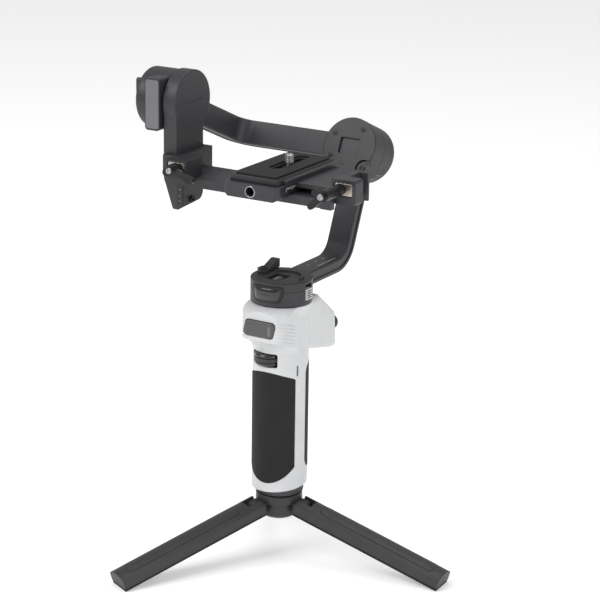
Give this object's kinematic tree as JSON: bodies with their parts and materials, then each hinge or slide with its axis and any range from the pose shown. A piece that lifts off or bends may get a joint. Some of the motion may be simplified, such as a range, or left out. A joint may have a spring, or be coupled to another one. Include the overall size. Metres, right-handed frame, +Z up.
{
  "type": "camera gimbal",
  "caption": "Handheld camera stabiliser: grip on a folding mini tripod, pan, roll and tilt motors on bent arms, and a sliding camera plate with clamp levers.",
  "frame": {"origin": "where the pan axis meets the floor that the tripod stands on", "axes": "+Z up along the pan axis; -Y is the front, where the lens points; +X is the side away from the tilt motor"},
  "size_m": [0.2411, 0.2478, 0.339],
  "materials": {
    "handle_plastic": "fine matte",
    "grip_rubber": "matte",
    "dark_plastic": "matte",
    "button_plastic": "matte",
    "gloss_black": "gloss",
    "light_diffuser": "satin",
    "dark_aluminium": "matte anodised",
    "slider_white": "matte",
    "plated_jaw": "satin",
    "black_steel": "black oxide",
    "steel": "brushed",
    "ring_metal": "knurled",
    "motor_iron": "laminated",
    "cell_wrap": "gloss",
    "circuit_board": "satin"
  },
  "bodies": {
    "stand": {"tripod_hub": "dark_plastic", "leg_hinge_pins": "steel", "handle_front_shell": "handle_plastic", "handle_rear_shell": "handle_plastic", "front_grip_pad": "grip_rubber", "rear_grip_strip": "grip_rubber", "status_light": "light_diffuser", "thread_insert": "steel", "battery_cells": "cell_wrap", "inner_frame": "ring_metal", "main_board": "circuit_board", "control_panel": "gloss_black", "display_window": "gloss_black", "pan_stator": "motor_iron", "pan_bearings": "steel"},
    "lock_ring": {"knurled_ring": "ring_metal", "tripod_screw": "steel"},
    "leg_1": {"leg_1": "dark_plastic", "leg_1_sole": "grip_rubber"},
    "leg_2": {"leg_2": "dark_plastic", "leg_2_sole": "grip_rubber"},
    "leg_3": {"leg_3": "dark_plastic", "leg_3_sole": "grip_rubber"},
    "trigger": {"trigger": "dark_plastic"},
    "dial": {"scroll_dial": "gloss_black"},
    "joystick_cradle": {"joystick_cradle": "dark_plastic"},
    "joystick_cap": {"joystick_cap": "button_plastic"},
    "mode_button": {"mode_button": "button_plastic"},
    "record_button": {"record_button": "button_plastic"},
    "pan_head": {"pan_housing": "dark_aluminium", "pan_cap": "dark_plastic", "pan_front_cover": "dark_plastic", "pan_rotor": "motor_iron"},
    "pan_lever": {"pan_lever": "dark_plastic"},
    "pan_lock": {"pan_lock_slider": "slider_white"},
    "pan_arm": {"pan_arm": "dark_aluminium", "roll_rear_cover": "dark_plastic", "roll_stator": "motor_iron"},
    "roll_head": {"roll_housing": "dark_aluminium", "roll_cap": "dark_plastic", "roll_rotor": "motor_iron"},
    "roll_lever": {"roll_lever": "dark_plastic"},
    "roll_arm": {"roll_arm": "dark_aluminium", "tilt_housing": "dark_aluminium", "light_panel": "light_diffuser", "tilt_stator": "motor_iron"},
    "tilt_head": {"tilt_plate": "dark_aluminium", "tilt_rotor": "motor_iron", "plate_stop_screw": "black_steel"},
    "stage": {"cross_bar": "dark_aluminium", "right_bracket": "dark_aluminium", "left_jaw": "plated_jaw", "right_jaw": "plated_jaw"},
    "left_lever": {"left_lever": "black_steel"},
    "right_lever": {"right_lever": "black_steel"},
    "carriage": {"carriage": "dark_aluminium", "plate_rails": "dark_aluminium"},
    "camera_plate": {"top_plate": "dark_aluminium", "plate_pad": "grip_rubber"},
    "camera_screw": {"camera_screw": "steel"}
  },
  "joints": [
    {"name": "lock_ring_turn", "type": "hinge", "parent": "stand", "child": "lock_ring", "pos_m": [0, 0, 0.05], "axis": [0, 0, 1], "continuous": true},
    {"name": "leg_1_fold", "type": "hinge", "parent": "stand", "child": "leg_1", "pos_m": [0.01947, 0.00102, 0.037], "axis": [-0.0523, 0.9986, 0], "range_deg": [0, 73.4]},
    {"name": "leg_2_fold", "type": "hinge", "parent": "stand", "child": "leg_2", "pos_m": [-0.01062, 0.01635, 0.037], "axis": [-0.8387, -0.5446, 0], "range_deg": [0, 73.4]},
    {"name": "leg_3_fold", "type": "hinge", "parent": "stand", "child": "leg_3", "pos_m": [-0.00885, -0.01738, 0.037], "axis": [0.891, -0.454, 0], "range_deg": [0, 73.4]},
    {"name": "trigger_press", "type": "slide", "parent": "stand", "child": "trigger", "axis": [0, 1, 0], "range_m": [0, 0.002], "stiffness_N_per_m": 900, "springref_m": -0.0006},
    {"name": "dial_turn", "type": "hinge", "parent": "stand", "child": "dial", "pos_m": [-0.0022, -0.0124, 0.148], "axis": [0, 0, 1], "continuous": true},
    {"name": "joystick_up_down", "type": "hinge", "parent": "stand", "child": "joystick_cradle", "pos_m": [0.008, 0.04964, 0.15815], "axis": [1, 0, 0], "range_deg": [-10, 10], "stiffness_Nm_per_rad": 0.05},
    {"name": "joystick_left_right", "type": "hinge", "parent": "joystick_cradle", "child": "joystick_cap", "pos_m": [0.008, 0.04964, 0.15815], "axis": [0, -0.0723, 0.9974], "range_deg": [-10, 10], "stiffness_Nm_per_rad": 0.05},
    {"name": "mode_button_press", "type": "slide", "parent": "stand", "child": "mode_button", "axis": [0, -0.9974, -0.0723], "range_m": [0, 0.0006], "stiffness_N_per_m": 600, "springref_m": -0.0005},
    {"name": "record_button_press", "type": "slide", "parent": "stand", "child": "record_button", "axis": [0, -0.9974, -0.0723], "range_m": [0, 0.0006], "stiffness_N_per_m": 600, "springref_m": -0.0005},
    {"name": "pan", "type": "hinge", "parent": "stand", "child": "pan_head", "pos_m": [0, 0, 0.187], "axis": [0, 0, 1], "continuous": true},
    {"name": "pan_lever_turn", "type": "hinge", "parent": "pan_head", "child": "pan_lever", "pos_m": [-0.0152, 0.001, 0.204], "axis": [0, 0, 1], "range_deg": [0, 95]},
    {"name": "pan_lock_slide", "type": "slide", "parent": "pan_head", "child": "pan_lock", "axis": [0, 0, 1], "range_m": [0, 0.003]},
    {"name": "pan_arm_slide", "type": "slide", "parent": "pan_head", "child": "pan_arm", "axis": [0, 1, 0], "range_m": [-0.006, 0.022]},
    {"name": "roll", "type": "hinge", "parent": "pan_arm", "child": "roll_head", "pos_m": [0, 0.10821, 0.26995], "axis": [0, -0.9171, 0.3987], "range_deg": [-120, 60]},
    {"name": "roll_lever_turn", "type": "hinge", "parent": "roll_head", "child": "roll_lever", "pos_m": [0.015, 0.10239, 0.25656], "axis": [0, -0.9171, 0.3987], "range_deg": [-90, 0]},
    {"name": "roll_arm_slide", "type": "slide", "parent": "roll_head", "child": "roll_arm", "axis": [1, 0, 0], "range_m": [-0.015, 0.004]},
    {"name": "tilt", "type": "hinge", "parent": "roll_arm", "child": "tilt_head", "pos_m": [-0.09, 0, 0.317], "axis": [1, 0, 0], "range_deg": [-160, 160]},
    {"name": "stage_height", "type": "slide", "parent": "tilt_head", "child": "stage", "axis": [0, 0, 1], "range_m": [-0.013, 0.014]},
    {"name": "left_lever_turn", "type": "hinge", "parent": "stage", "child": "left_lever", "pos_m": [-0.063, -0.042, 0.2782], "axis": [0, -1, 0], "range_deg": [0, 100]},
    {"name": "right_lever_turn", "type": "hinge", "parent": "stage", "child": "right_lever", "pos_m": [0.057, -0.044, 0.2776], "axis": [0, -1, 0], "range_deg": [-100, 0]},
    {"name": "carriage_slide", "type": "slide", "parent": "stage", "child": "carriage", "axis": [0, -1, 0], "range_m": [0, 0.018]},
    {"name": "camera_plate_slide", "type": "slide", "parent": "carriage", "child": "camera_plate", "axis": [0, 1, 0], "range_m": [-0.01, 0.01]},
    {"name": "camera_screw_turn", "type": "hinge", "parent": "camera_plate", "child": "camera_screw", "pos_m": [0, 0.008, 0.28], "axis": [0, 0, 1], "continuous": true}
  ]
}
